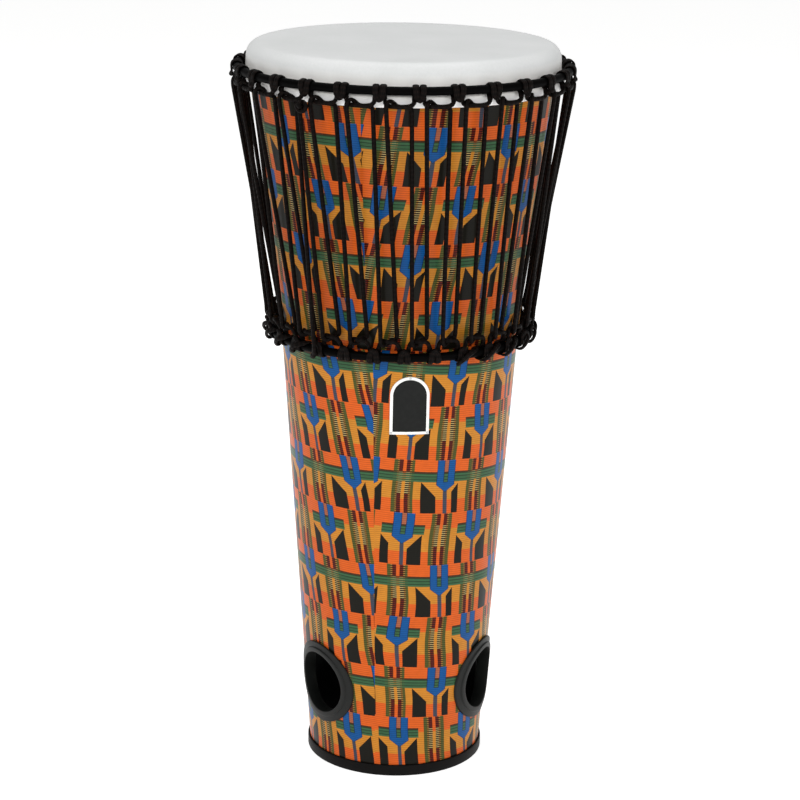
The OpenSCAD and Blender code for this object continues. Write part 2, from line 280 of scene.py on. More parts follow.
def blendNoise(tree, fine, coarse, fineShare):
    return calc(tree, "MULTIPLY_ADD", fine, fineShare, calc(tree, "MULTIPLY", coarse, 1 - fineShare))


def spread(tree, value, low, high, fromLow=0.0, fromHigh=1.0):
    node = tree.nodes.new("ShaderNodeMapRange")
    feed(tree, node.inputs[0], value)
    node.inputs[1].default_value = fromLow
    node.inputs[2].default_value = fromHigh
    node.inputs[3].default_value = low
    node.inputs[4].default_value = high
    return node.outputs[0]


def bumpNormal(tree, height, strength, distance):
    node = tree.nodes.new("ShaderNodeBump")
    node.inputs["Strength"].default_value = strength
    node.inputs["Distance"].default_value = distance
    feed(tree, node.inputs["Height"], height)
    return node.outputs[0]


def setShader(tree, shader, **finish):
    sockets = {
        "colour": "Base Color",
        "roughness": "Roughness",
        "shine": "Specular IOR Level",
        "metal": "Metallic",
        "coat": "Coat Weight",
        "coatRoughness": "Coat Roughness",
        "normal": "Normal",
    }
    for name, value in finish.items():
        feed(tree, shader.inputs[sockets[name]], value)


def namedUv(tree, name):
    node = tree.nodes.new("ShaderNodeUVMap")
    node.uv_map = name
    split = tree.nodes.new("ShaderNodeSeparateXYZ")
    tree.links.new(node.outputs[0], split.inputs[0])
    return split.outputs[0], split.outputs[1]


# Rope: two cradles hitched round the rings, and one long rope laced between them
rope = {
    "diameter": 0.0042,
    "ringRod": 0.0082,
    "loops": 28,
    "sides": 12,
    "crownDrop": 0.0232,
    "crownLoopDrop": 0.0138,
    "crownLoopOut": 0.0006,
    "crownShare": 0.32,      # half a crown loop's width, as a share of the pitch
    "bottomRingZ": 0.441,
    "bottomLoopRise": 0.0165,
    "bottomLoopOut": 0.0022,
    "bottomShare": 0.26,
    "bottomShift": 0.24,     # turn of the bottom loops against the crown's, in pitches
    "gapToRod": 0.0001,
    "gapBehind": 0.0002,
    "endGap": 0.0006,
    "hitchHalfWidth": 0.0034,
    "barHalfWidth": 0.0026,
    "barOut": 0.0013,        # the hitch's bar, beyond a rope's thickness and the turn's foot
    "barDrop": 0.0009,
    "frontGap": 0.0006,
    "overGap": 0.0003,       # spare rope over the front of a hitch
    "lineStep": 0.58,        # a cord in front of or behind its loop's line, in rope diameters
    "crossAlong": 1.3,       # from a loop's corner to where the cord is in front again
    "crossShare": 0.95,
    "behindLine": 1.1,       # last strand behind the crown's loops, in rope diameters
    "startLoop": -4,
    "knotAt": 1.03,          # in pitches past the start loop
    "knotOut": 2.1,          # in rope diameters, like the coil's radius
    "knotCoil": 1.02,
    "knotTurn": 450,
    "knotStep": 30,
    "tailTurns": 23,
    "cornerKeep": 0.006,     # a long strand stays straight past this length at its ends
    "cornerSteps": 4,
    "straightBend": 0.12,    # a corner flatter than this, in radians, gets one point
    "pressFlat": 0.50,       # how much thinner the rope is where it is pulled round a ring
    "pressWide": 0.42,
    "pressReach": 1.4,       # where that begins and how soon it is full, in radii of a turn
    "pressFade": 0.35,
    "tailPull": 0.0022,      # how far the spare end is drawn in on the flattened hitches
    "braidStrands": 4,
    "braidLay": 0.0095,
    # rope colours from near-black in the braid's grooves, as painted shade, to brown on its crests, as
    # painted sheen; random fibre tone is mixed in
    "fibreToneAndPaintedBraidShading": ((0.0, "#020100"), (0.6, "#090504"), (1.0, "#190f0b")),
}
ropeD = rope["diameter"]
pitch = 360 / rope["loops"]
turnFlat = (rope["ringRod"] + ropeD) / 2 + rope["gapToRod"]
turnR = turnFlat / math.cos(math.radians(30))
turnZ = turnR / 2
frontOut = turnFlat + rope["frontGap"]
crownZ = drum["height"] - rope["crownDrop"]
crownR = drum["headRadius"] + rope["gapBehind"] + ropeD / 2 + turnFlat
crownLineZ = crownZ - rope["crownLoopDrop"]
crownLineR = crownR + rope["crownLoopOut"]
bottomZ = rope["bottomRingZ"]
bottomR = shellRadius(bottomZ + turnZ) + drum["wrapThickness"] + rope["gapBehind"] + ropeD / 2 + turnFlat
bottomLineZ = bottomZ + rope["bottomLoopRise"]
bottomLineR = bottomR + rope["bottomLoopOut"]


def hitchRoute(azimuth, radius, z, lineR, lineZ, share, down):
    # a cow hitch on a ring, as (along, out, down) from the bar across its front to the loop's corner
    width = rope["hitchHalfWidth"]
    half = [
        (rope["barHalfWidth"], ropeD + rope["barOut"], turnR + rope["barDrop"]),
        (width, frontOut, -turnZ),
        (width, 0, -turnR),
        (width, -turnFlat, -turnZ),
        (width, -turnFlat, turnZ),
        (width, 0, turnR),
    ]

    def placed(side, shape):
        return [at(azimuth + side * degreesAlong(a, radius), radius + out, z - down * drop)
                for a, out, drop in shape]

    step = rope["lineStep"] * ropeD
    corner = (0.5 - share) * pitch
    crossed = corner + degreesAlong(rope["crossAlong"] * ropeD, lineR)
    return ([at(azimuth - corner, lineR + step, lineZ)] + placed(-1, half[::-1]) + placed(1, half)
            + [at(azimuth + corner, lineR - step, lineZ),
               at(azimuth + crossed, lineR + rope["crossShare"] * step, lineZ)])


def cradleRoute(firstAzimuth, radius, z, lineR, lineZ, share, down):
    middle = firstAzimuth - pitch / 2
    nudge = degreesAlong(rope["endGap"] / 2, lineR)
    frontR = lineR + rope["lineStep"] * ropeD
    route = [at(middle + nudge, frontR, lineZ)]
    for k in range(rope["loops"]):
        route += hitchRoute(firstAzimuth + k * pitch, radius, z, lineR, lineZ, share, down)
    return route + [at(middle - nudge, frontR, lineZ)]


def bightRoute(azimuth, lineR, lineZ, share, down, count=7):
    # the tuning rope over a loop: side of the loop, then along, out and down in rope diameters
    shape = [
        (-1, 0, 0.8, 0.8),
        (-1, 0, 0.8, -0.59),
        (-1, 0.68, 0.01, -1.2),
        (-1, 1.58, -0.56, -0.59),
        (-1, 2.3, -0.62, 0.2),
        (1, -0.36, -0.62, 0.26),
        (1, 0, -0.58, 0.8),
    ]
    return [at(azimuth + side * share * pitch + degreesAlong(along * ropeD, lineR),
               lineR + out * ropeD, lineZ - down * drop * ropeD)
            for side, along, out, drop in shape[:count]]


def knotRoute(azimuth):
    # overhand stopper knot, (along, down, out): the end is pushed through a turn and a quarter of coil
    radius = crownLineR + rope["knotOut"] * ropeD
    z = crownLineZ - ropeD
    coilR = rope["knotCoil"] * ropeD
    coilTurn = rope["knotTurn"]
    coilHalf = coilR * coilTurn / 720
    shape = [
        (0, 0, -coilHalf - 0.9 * ropeD),
        (0, 0, coilHalf + 0.2 * ropeD),
        (0, -0.55 * coilR, coilHalf + 0.6 * ropeD),
    ]
    for step in range(0, coilTurn + 1, rope["knotStep"]):
        turn = math.radians(step)
        out = coilHalf * (1 - 2 * step / coilTurn)
        shape.append((-coilR * math.sin(turn), -coilR * math.cos(turn), out))
    shape.append((-coilR, 1.6 * ropeD, -coilHalf - 0.1 * ropeD))
    return [at(azimuth + degreesAlong(along, radius), radius + out, z - drop) for along, drop, out in shape]


def tuningRoute():
    start = rope["startLoop"]
    last = start + rope["loops"]
    shift = rope["bottomShift"]
    route = knotRoute((start + rope["knotAt"]) * pitch)

    # down to a bottom loop, up to the next crown loop
    for k in range(start + 1, last + 1):
        route += bightRoute((k + shift) * pitch, bottomLineR, bottomLineZ, rope["bottomShare"], -1)
        if k < last:
            route += bightRoute((k + 0.5) * pitch, crownLineR, crownLineZ, rope["crownShare"], 1)

    # last strand, beside the first and over the front of a hitch
    tailAz = (start + 0.5 + shift) * pitch
    behindR = crownLineR - rope["behindLine"] * ropeD
    overOut = frontOut + ropeD + rope["overGap"]
    route += bightRoute((last + 0.5) * pitch, crownLineR, crownLineZ, rope["crownShare"], 1, count=4)
    route += [
        at((start + 0.5) * pitch, behindR, crownLineZ),
        at((start + 0.57) * pitch, behindR, crownLineZ - 1.4 * ropeD),
        at(tailAz + 0.04 * pitch, bottomR + overOut, bottomZ + turnZ + 1.5 * ropeD),
    ]

    # spare rope wound round the bottom ring: share of the pitch, out and up
    pulled = overOut - rope["tailPull"]
    turnShape = [
        (0, pulled, -0.2 * ropeD),
        (-0.12, pulled - 0.0015, -turnZ - 0.35 * ropeD),
        (-0.22, 0.75 * turnFlat, -turnR - 0.15 * ropeD),
        (-0.31, 0, -turnR),
        (-0.35, -turnFlat, -turnZ),
        (-0.39, -turnFlat, turnZ),
        (-0.44, 0, turnR),
        (-0.54, 0.73 * turnFlat, 0.81 * turnR),
        (-0.68, 1.05 * turnFlat, 0.60 * turnR),
        (-0.84, pulled - 0.0005, 0.36 * turnR),
    ]
    for turn in range(rope["tailTurns"] + 1):
        shape = turnShape if turn < rope["tailTurns"] else turnShape[:3]
        for share, out, up in shape:
            route.append(at(tailAz + (share - turn) * pitch, bottomR + out, bottomZ + up))
    return route


def roundedRoute(route):
    # long stretches keep a point near each end, and every corner becomes a short curve
    keep = rope["cornerKeep"]
    points = [route[0]]
    for before, after in zip(route, route[1:]):
        length = (after - before).length
        if length > 3 * keep:
            points.append(before.lerp(after, keep / length))
            points.append(after.lerp(before, keep / length))
        points.append(after)
    smooth = [points[0]]
    steps = rope["cornerSteps"]
    for before, corner, after in zip(points, points[1:], points[2:]):
        start = before.lerp(corner, 0.5)
        stop = corner.lerp(after, 0.5)
        bend = (corner - before).angle(after - corner)
        count = steps if bend > rope["straightBend"] else 1
        for i in range(count):
            share = i / count
            smooth.append(start.lerp(corner, share).lerp(corner.lerp(stop, share), share))
        if count == 1:
            smooth[-1] = start.lerp(corner, 0.5).lerp(corner.lerp(stop, 0.5), 0.5)
    return smooth + [points[-1]]


def pressOn(centre):
    # direction away from the nearest ring's rod, and how hard the rope is pulled onto it
    best = (Vector((0, 0, 1)), 0.0)
    flat = math.hypot(centre.x, centre.y)
    for radius, z in ((crownR, crownZ), (bottomR, bottomZ)):
        off = centre - Vector((centre.x * radius / flat, centre.y * radius / flat, z))
        near = rope["pressReach"] * turnR - off.length
        share = min(max(near / (rope["pressFade"] * turnR), 0), 1)
        if share > best[1]:
            best = (off.normalized(), share)
    return best


def ropePiece(name, route):
    centres = roundedRoute(route)
    count = len(centres)
    sides = rope["sides"]
    vertices = []
    lengths = [0.0]
    side = None
    for i, centre in enumerate(centres):
        ahead = (centres[min(i + 1, count - 1)] - centres[max(i - 1, 0)]).normalized()
        guide = side if side else ahead.orthogonal()
        side = (guide - ahead * guide.dot(ahead)).normalized()
        other = ahead.cross(side)
        away, press = pressOn(centre)
        thin = rope["pressFlat"] * press
        wide = rope["pressWide"] * press
        away = (away - ahead * away.dot(ahead)).normalized()
        beside = ahead.cross(away)
        middle = centre - away * thin * ropeD / 2
        for j in range(sides):
            turn = math.tau * j / sides
            spoke = (side * math.cos(turn) + other * math.sin(turn)) * ropeD / 2
            spoke += beside * spoke.dot(beside) * wide - away * spoke.dot(away) * thin
            vertices.append(middle + spoke)
        if i:
            lengths.append(lengths[-1] + (centre - centres[i - 1]).length)
    piece = skinLoops(name, vertices, sides)
    layer = piece.data.uv_layers.new(name="braidMap")
    for face in piece.data.polygons[:-2]:
        j = face.index % sides
        i = face.index // sides
        corners = ((j, i), (j + 1, i), (j + 1, i + 1), (j, i + 1))
        for loop, (across, along) in zip(face.loop_indices, corners):
            layer.data[loop].uv = (across / sides, lengths[along] / rope["braidLay"])
    print(name, "is", round(lengths[-1], 3), "m long")
    return piece


def ropeMaterial():
    material, tree, shader = startMaterial("braidedRope")
    around, along = namedUv(tree, "braidMap")
    turns = calc(tree, "MULTIPLY", around, rope["braidStrands"])
    leftHand = calc(tree, "SINE", calc(tree, "MULTIPLY", calc(tree, "ADD", turns, along), math.tau))
    rightHand = calc(tree, "SINE", calc(tree, "MULTIPLY", calc(tree, "SUBTRACT", turns, along), math.tau))
    weave = calc(tree, "MULTIPLY", leftHand, rightHand)
    fibres = noiseValue(tree, objectPoint(tree), scale=1400, detail=2)
    height = calc(tree, "MULTIPLY_ADD", fibres, 0.35, weave)
    # the braid's raised strands are painted lighter brown as a painted sheen and its grooves near-black as
    # painted shade, on top of random fibre tone; the bump gives the real relief
    tone = spread(tree, height, 0.0, 1.0, fromLow=-0.9, fromHigh=1.3)
    shades = [(start, hexColour(code)) for start, code in rope["fibreToneAndPaintedBraidShading"]]
    setShader(tree, shader, colour=stepRamp(tree, tone, shades, "LINEAR"), roughness=0.55, shine=0.06,
              normal=bumpNormal(tree, height, strength=0.55, distance=0.0005))
    return material


ropeBlack = ropeMaterial()
crownRoute = cradleRoute(180, crownR, crownZ, crownLineR, crownLineZ, rope["crownShare"], 1)
bottomRoute = cradleRoute(180 + (rope["bottomShift"] - 0.5) * pitch, bottomR, bottomZ,
                          bottomLineR, bottomLineZ, rope["bottomShare"], -1)
finishPiece(ropePiece("crownCradle", crownRoute), "rope", ["crown_cradle_rope"], ropeBlack, smooth=60)
finishPiece(ropePiece("bottomCradle", bottomRoute), "rope", ["bottom_cradle_rope"], ropeBlack, smooth=60)
finishPiece(ropePiece("tuningRope", tuningRoute()), "rope", ["tuning_rope"], ropeBlack, smooth=60)
print("ropes laced")


# Steel rings inside the rope turns
ring = {
    "steps": 168,
    "sides": 20,
    "weldBulge": 1.12,
    "weldLength": 0.006,
    "paint": ("#020202", "#050404"),
}


def ringPiece(name, radius, z):
    outline = arcPoints(radius, z, rope["ringRod"] / 2, 0, 360, ring["sides"])[:-1]
    piece = spinOutline(name, outline, ring["steps"], firstAzimuth=180)
    weld = at(180, radius, z)
    for vertex in piece.data.vertices:
        off = vertex.co - weld
        along = abs(off.x)
        if vertex.co.y > 0 and along < ring["weldLength"]:
            swell = 1 + (ring["weldBulge"] - 1) * math.cos(along / ring["weldLength"] * math.pi / 2)
            vertex.co.y = weld.y + off.y * swell
            vertex.co.z = weld.z + off.z * swell
    return piece


def paintMaterial():
    material, tree, shader = startMaterial("blackRingPaint")
    speckle = noiseValue(tree, objectPoint(tree), scale=900, detail=3)
    setShader(tree, shader, colour=toneRamp(tree, speckle, *ring["paint"]),
              roughness=spread(tree, speckle, 0.36, 0.55), shine=0.02,
              normal=bumpNormal(tree, speckle, strength=0.2, distance=0.0002))
    return material


ringPaint = paintMaterial()
finishPiece(ringPiece("crownRing", crownR, crownZ), "ring_steel", ["crown_ring"], ringPaint)
finishPiece(ringPiece("bottomRing", bottomR, bottomZ), "ring_steel", ["bottom_ring"], ringPaint)


# Head: playing face, rounded edge, puckered collar and a hem rolled round the hoop
head = {
    "steps": 432,
    "faceRings": (0, 0.25, 0.5, 0.75, 0.9),   # shares of the flat face's radius
    "edgeSteps": 10,
    "collarSteps": 12,
    "rollSteps": 18,
    "hoopRod": 0.003,
    "hoopGap": 0.00005,
    "hemClearance": 0.0006,
    "hemDrop": 0.006,        # slack of the fold under the hoop
    "puckerDepth": 0.00028,
    "puckerTop": 0.708,
    "puckerLow": 0.6895,
    "puckerReach": 0.003,    # inwards from the head's edge
    "puckerCounts": (56, 23, 131),   # even, slow and fine ones round the collar
    "film": ("#c2c4c3", "#cecfcf"),
    # The collar and hem tones are painted light: the same film as the face, painted lighter where the front
    # light falls on the collar and to lift the shade under the crown ring.
    "collar": "#f2efea",
    "collarFade": (0.697, 0.711),    # heights from the full painted light of the collar to none
    "hem": "#fdfcfb",
    "hemFade": (0.686, 0.692),
}


def headPiece():
    thick = drum["filmThickness"]
    turnOut = drum["headRadius"] - rimRadius + drum["edgeRound"]
    edgeR = drum["headRadius"] - turnOut
    edgeZ = drum["height"] - turnOut
    rollIn = head["hoopRod"] / 2 + head["hoopGap"]
    rollOut = rollIn + thick
    hoopR = drum["headRadius"] + rollIn
    hoopZ = crownZ - turnZ - ropeD / 2 - rollOut - head["hemClearance"]
    outer = [(edgeR * share, drum["height"]) for share in head["faceRings"]]
    outer += arcPoints(edgeR, edgeZ, turnOut, 90, 0, head["edgeSteps"])
    collarTop = outer[-1]
    for i in range(1, head["collarSteps"]):
        share = i / head["collarSteps"]
        outer.append((collarTop[0], collarTop[1] + (hoopZ - collarTop[1]) * share))
    roll = []
    for radius, start, stop in ((rollIn, 180, 450), (rollOut, 450, 180)):
        for r, z in arcPoints(hoopR, hoopZ, radius, start, stop, head["rollSteps"]):
            roll.append((r, z - head["hemDrop"] if z < hoopZ - mergeGap else z))
    inner = arcPoints(edgeR, edgeZ, turnOut - thick, 0, 90, head["edgeSteps"])
    inner.append((0, drum["height"] - thick))
    piece = spinOutline("headFilm", outer + roll + inner, head["steps"], closed=False)
    even, slow, fine = head["puckerCounts"]
    for vertex in piece.data.vertices:
        out = math.hypot(vertex.co.x, vertex.co.y)
        onCollar = out >= drum["headRadius"] - head["puckerReach"]
        if not (onCollar and head["puckerLow"] < vertex.co.z < head["puckerTop"]):
            continue
        share = (head["puckerTop"] - vertex.co.z) / (head["puckerTop"] - head["puckerLow"])
        az = math.atan2(vertex.co.x, -vertex.co.y)
        waves = math.sin(even * az + 1.3) + 0.5 * math.sin(slow * az)
        waves += 0.6 * math.sin(fine * az + 4 * math.sin(5 * az))
        push = head["puckerDepth"] * math.sin(share * math.pi) * (waves + 0.8) / 2
        vertex.co.x *= 1 + push / out
        vertex.co.y *= 1 + push / out
    return piece


def filmMaterial():
    material, tree, shader = startMaterial("coatedFilm")
    place = objectPoint(tree)
    cloud = noiseValue(tree, place, scale=14, detail=3)
    grain = noiseValue(tree, place, scale=420, detail=3)
    colour = toneRamp(tree, blendNoise(tree, grain, cloud, 0.4), *head["film"])
    split = tree.nodes.new("ShaderNodeSeparateXYZ")
    tree.links.new(place, split.inputs[0])
    # painted light: the collar and hem get lighter copies of the film colour, faded in by height
    for part in ("collar", "hem"):
        fade = spread(tree, split.outputs[2], 1.0, 0.0, *head[part + "Fade"])
        colour = mixColours(tree, fade, colour, hexColour(head[part]))
    setShader(tree, shader, colour=colour, roughness=spread(tree, grain, 0.42, 0.6),
              normal=bumpNormal(tree, grain, strength=0.12, distance=0.0003))
    shader.inputs["Subsurface Weight"].default_value = 0.05
    shader.inputs["Subsurface Radius"].default_value = (0.002, 0.002, 0.002)
    return material


finishPiece(headPiece(), "head_film", ["head_film"], filmMaterial(), smooth=50)
print("head stretched")


# Sound ports, as the wrap's holes and the grommets share them; a node's value is its azimuth
port = {
    "z": 0.087,
    "bore": 0.031,
    "neck": 0.0026,
    "flange": 0.0083,
    "flangeThickness": 0.0024,
    "lipHeight": 0.0014,
    "lipWidth": 0.005,
    "insideThickness": 0.0022,
    "insideWidth": 0.004,
    "round": 0.0008,
    "steps": 128,
    "rubber": ("#0b0c0b", "#151715", 0.36, 0.2),   # dark, light, roughness and shine
    "nodes": {"right_port_grommet": 61.5, "back_port_grommet": 181.5, "left_port_grommet": 301.5},
}


# Printed wrap: upper and lower sheets, each in a left and a right panel
wrap = {
    "columns": 240,
    "lowerSteps": 20,
    "blendSteps": 12,
    "upperSteps": 8,
    "lowZ": 0.0111,
    "topZ": crownZ + turnR,
    "lowerSeam": -17.6,    # azimuth where the lower panels meet in front
    "upperSeam": -20.6,
    "sheetJoint": 0.4455,  # height where the sheets meet, behind the bottom ring
    "turn": -5.0,          # azimuth that arcs on the print are measured from
    "cutterSides": 96,
    "cutterDepth": 0.1,
    "cutterAt": 0.1,       # from the drum's axis
}
# A panel's motif at (arc, height), its columns' lean and bend, motif pitch, top of row 0, its slope
# and row pitch
panels = {
    ("upper", "left"): {"motif": (-0.0563, 0.4936), "lean": -0.218, "bend": 0.0, "period": 0.0790,
                        "rowTop": 0.3252, "slope": 0.0, "rowPitch": 0.0563},
    ("upper", "right"): {"motif": (0.0427, 0.4923), "lean": 0.1765, "bend": 0.0, "period": 0.0797,
                         "rowTop": 0.3253, "slope": -0.03, "rowPitch": 0.0561},
    ("lower", "left"): {"motif": (-0.0595, 0.1735), "lean": -0.150, "bend": -0.17, "period": 0.0730,
                        "rowTop": 0.3358, "slope": 0.0, "rowPitch": 0.0544},
    ("lower", "right"): {"motif": (0.0031, 0.1730), "lean": 0.012, "bend": 0.18, "period": 0.0778,
                         "rowTop": 0.3370, "slope": -0.085, "rowPitch": 0.0546},
}


def printPlace(panel, arc, z):
    # columns of motifs across, rows downward
    motifArc, motifZ = panel["motif"]
    up = z - motifZ
    across = (arc - motifArc - panel["lean"] * up - panel["bend"] * up * up) / panel["period"]
    row = (panel["rowTop"] + panel["slope"] * arc - z) / panel["rowPitch"]
    return across, row


def mapPrint(piece):
    layer = piece.data.uv_layers.new(name="printMap")
    vertices = piece.data.vertices
    for face in piece.data.polygons:
        centre = face.center
        sheet = "upper" if centre.z > wrap["sheetJoint"] else "lower"
        seam = wrap[sheet + "Seam"]
        centreAz = (math.degrees(math.atan2(centre.x, -centre.y)) - seam) % 360
        side = "right" if centreAz < 180 else "left"
        if side == "left":
            centreAz -= 360
        for loop in face.loop_indices:
            point = vertices[piece.data.loops[loop].vertex_index].co
            az = math.degrees(math.atan2(point.x, -point.y)) - seam
            az += 360 * round((centreAz - az) / 360)
            arc = math.radians(az + seam - wrap["turn"]) * math.hypot(point.x, point.y)
            layer.data[loop].uv = printPlace(panels[sheet, side], arc, point.z)


def portCutter(azimuth):
    clearSelection()
    hole = port["bore"] + port["neck"] + drum["seatGap"]
    bpy.ops.mesh.primitive_cylinder_add(vertices=wrap["cutterSides"], radius=hole, depth=wrap["cutterDepth"],
                                        location=at(azimuth, wrap["cutterAt"], port["z"]),
                                        rotation=(math.pi / 2, 0, math.radians(azimuth)))
    return bpy.context.object


def wrapPiece():
    blendLow = drum["waistZ"] - drum["waistBlend"]
    blendTop = drum["waistZ"] + drum["waistBlend"]
    stretches = (
        (wrap["lowZ"], blendLow, wrap["lowerSteps"]),
        (blendLow, blendTop, wrap["blendSteps"]),
        (blendTop, wrap["topZ"], wrap["upperSteps"]),
    )
    heights = [low + (top - low) * i / steps for low, top, steps in stretches for i in range(steps)]
    heights = sorted(heights + [wrap["topZ"], wrap["sheetJoint"]])
    outer = [(shellRadius(z) + drum["wrapThickness"], z) for z in heights]
    inner = [(shellRadius(z), z) for z in reversed(heights)]
    piece = spinOutline("printedWrap", outer + inner, wrap["columns"], firstAzimuth=wrap["lowerSeam"])
    for azimuth in port["nodes"].values():
        cutter = portCutter(azimuth)
        hole = piece.modifiers.new("portHole", "BOOLEAN")
        hole.object = cutter
        applyAll(piece)
        bpy.data.objects.remove(cutter)
    mapPrint(piece)
    return piece


# The woven print, in millimetres of one motif; a value that differs by row is (row A, row B)
cloth = {
    "period": 73.6,
    "row": 52.35,
    "shift": 0.51,             # row A's motif stands this share of a period right of row B's
    "goldFrom": 0.29,          # shares of a row
    "goldTo": 0.735,
    "leftEdge": (-30.8, -27.0),
    "leftBlack": ((-23.9, -9.3), (-20.3, -12.0)),
    "rightBlack": ((6.7, 13.6), (4.7, 18.4)),
    "leftBlackTop": ((21.5, 36.0), (23.0, 31.5)),
    "rightBlackTop": ((31.5, 23.0), (36.0, 21.5)),
    "blackFoot": 52.0,
    "bandTop": 11.3,
    "bandFoot": 21.3,
    "bandReach": 20.0,
    "bandSteps": (0.15, 0.22, 0.44, 0.52, 0.72, 0.8),   # dark and light by turns
    "bandFade": 0.45,          # how far a ladder's rungs show through it
    "stemHalf": (2.1, 1.8),
    "stemTop": 30.0,
    "forkHalf": 9.7,
    "forkGap": 1.95,
    "forkRim": 0.6,
    "forkGapFoot": 21.2,
    "forkTaper": (24.0, 31.3),   # from full width to the tip
    "stripeStart": (23.0, 25.4),
    "stripeWidth": 20.4,
    "stripeEdges": (0.165, 0.25, 0.43, 0.585, 0.76, 0.845, 1.02),
    "paleFoot": 34.0,
    "rungLevel": 0.45,
    "ladderPitch": 2.0,
    "ribPitch": 2.0,
    "ribDepth": 0.16,
    "uneven": (0.82, 1.10),
    "unevenScale": 160,
    "warpAcross": 10.0,
    "warpDown": 3.0,
    "warpScale": 14,
}
dye = {name: hexColour(code) for name, code in {
    "orange": "#c6561a", "gold": "#ba7826", "blue": "#0a4984", "blueEdge": "#0b2038",
    "black": "#100e07", "green": "#34593a", "darkGreen": "#1f3321", "olive": "#3f421a",
    "oxblood": "#641a0c", "bark": "#1e0f08", "cream": "#a8945e", "straw": "#9c7030",
    "slate": "#3a3d49", "clay": "#98553c", "umber": "#3a2611", "moss": "#4e5024", "maroon": "#2e0b06",
}.items()}


